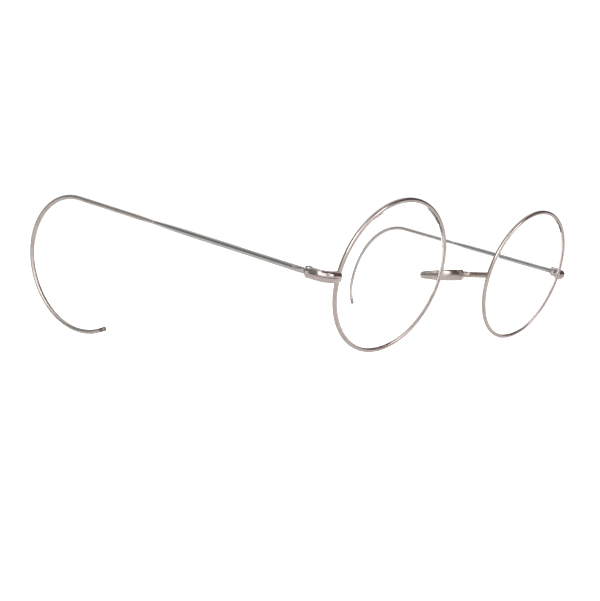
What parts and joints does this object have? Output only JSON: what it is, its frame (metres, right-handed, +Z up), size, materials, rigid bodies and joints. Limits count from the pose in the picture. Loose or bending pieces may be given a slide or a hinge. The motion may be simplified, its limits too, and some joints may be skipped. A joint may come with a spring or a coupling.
{
  "type": "round wire eyeglasses",
  "caption": "Round wire-rimmed spectacles with a saddle bridge and folding temples that end in hooked ear cables.",
  "frame": {"origin": "centre of the plan outline, on the surface that the open glasses stand on", "axes": "+X towards the wearer's left, +Y from the lenses back along the temples, +Z up from the table"},
  "size_m": [0.1618, 0.1234, 0.04],
  "materials": {
    "rim": "polished nickel silver",
    "bridge": "polished nickel silver",
    "endpiece": "polished nickel silver",
    "hinge_screw": "polished steel",
    "temple_shaft": "polished nickel silver",
    "ear_cable": "bright wound wire",
    "cable_core": "drawn wire",
    "cable_tip": "polished",
    "lens": "clear polished glass"
  },
  "bodies": {
    "front": {"bridge": "bridge", "rim_right": "rim", "lens_right": "lens", "endpiece_upper_right": "endpiece", "endpiece_lower_right": "endpiece", "hinge_screw_right": "hinge_screw", "rim_left": "rim", "lens_left": "lens", "endpiece_upper_left": "endpiece", "endpiece_lower_left": "endpiece", "hinge_screw_left": "hinge_screw"},
    "temple_right": {"temple_shaft_right": "temple_shaft", "cable_winding_right": "ear_cable", "cable_core_right": "cable_core", "cable_tip_right": "cable_tip"},
    "temple_left": {"temple_shaft_left": "temple_shaft", "cable_winding_left": "ear_cable", "cable_core_left": "cable_core", "cable_tip_left": "cable_tip"}
  },
  "joints": [
    {"name": "hinge_right", "type": "hinge", "parent": "front", "child": "temple_right", "pos_m": [-0.05865, -0.05066, 0.0209], "axis": [0, 0.2226, -0.9749], "range_deg": [0, 98]},
    {"name": "hinge_left", "type": "hinge", "parent": "front", "child": "temple_left", "pos_m": [0.05622, -0.05066, 0.0209], "axis": [0, -0.2226, 0.9749], "range_deg": [0, 98]}
  ]
}
